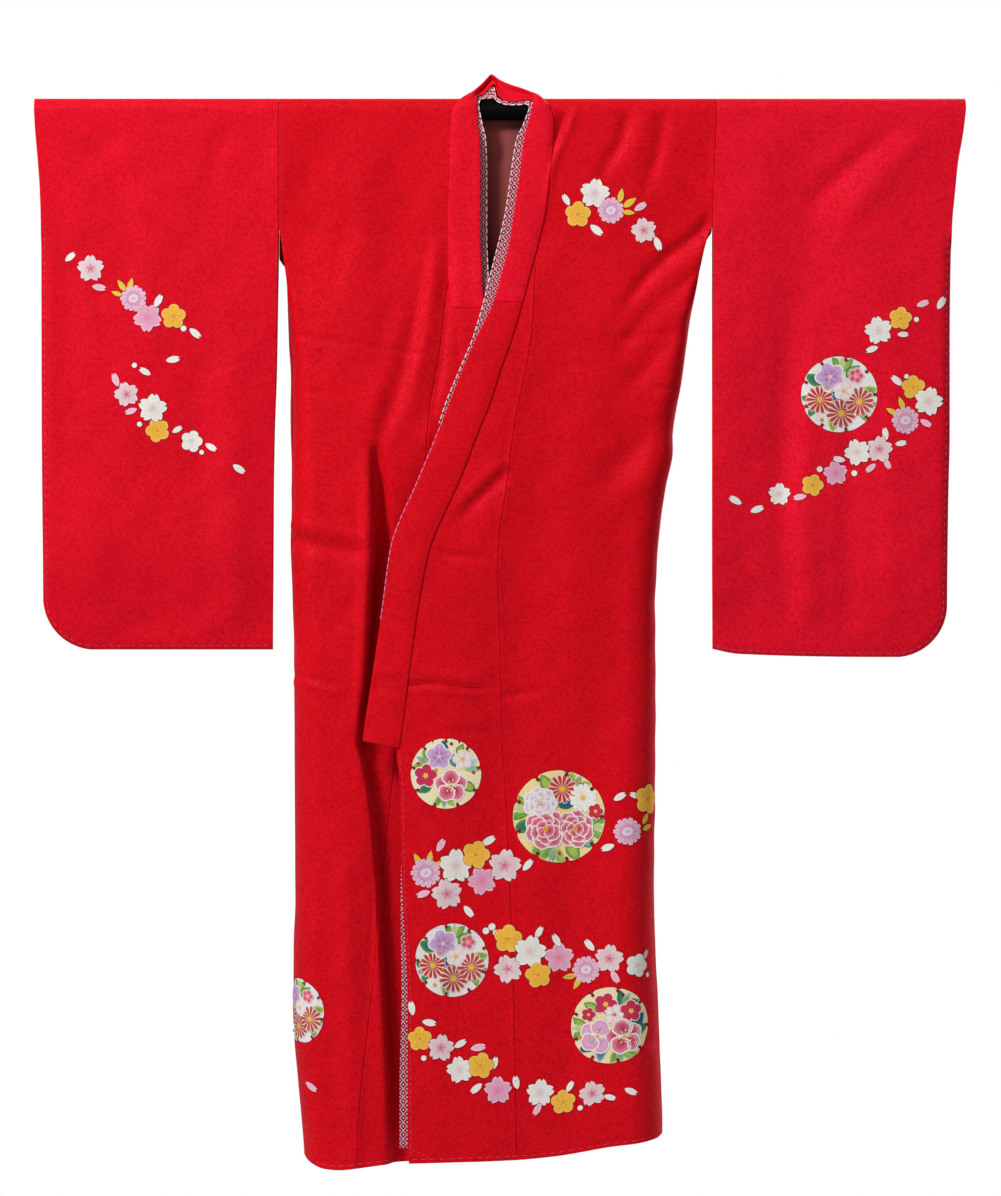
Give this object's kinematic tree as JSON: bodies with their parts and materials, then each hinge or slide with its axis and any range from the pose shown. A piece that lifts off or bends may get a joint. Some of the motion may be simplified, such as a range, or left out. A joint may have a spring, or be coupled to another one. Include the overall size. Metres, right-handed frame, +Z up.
{
  "type": "kimono hung on a round rod",
  "caption": "Long-sleeved formal kimono in red figured silk with flower sprays and snow-ring medallions, hung open-sleeved on a straight black rod",
  "frame": {"origin": "middle of the rod, on the rod's axis, where the garment is held", "axes": "+Z up, +X towards the garment's left sleeve along the rod, the garment's front faces -Y"},
  "size_m": [1.303, 0.1264, 1.5267],
  "materials": {
    "rod_lacquer": "black, half matt",
    "red_silk": "figured crepe silk, soft sheen",
    "patterned_silk": "silk with a small pale lattice on a dark red ground",
    "lining": "thin plain lining in shade"
  },
  "bodies": {
    "root": {"rod": "rod_lacquer", "body_right": "red_silk", "body_left": "red_silk", "okumi_right": "red_silk", "okumi_left": "red_silk", "sleeve_right": "red_silk", "sleeve_left": "red_silk", "collar_right": "red_silk", "collar_left": "red_silk", "over_collar": "red_silk", "under_collar": "patterned_silk", "front_strip": "patterned_silk", "neck_lining": "lining"}
  },
  "joints": []
}
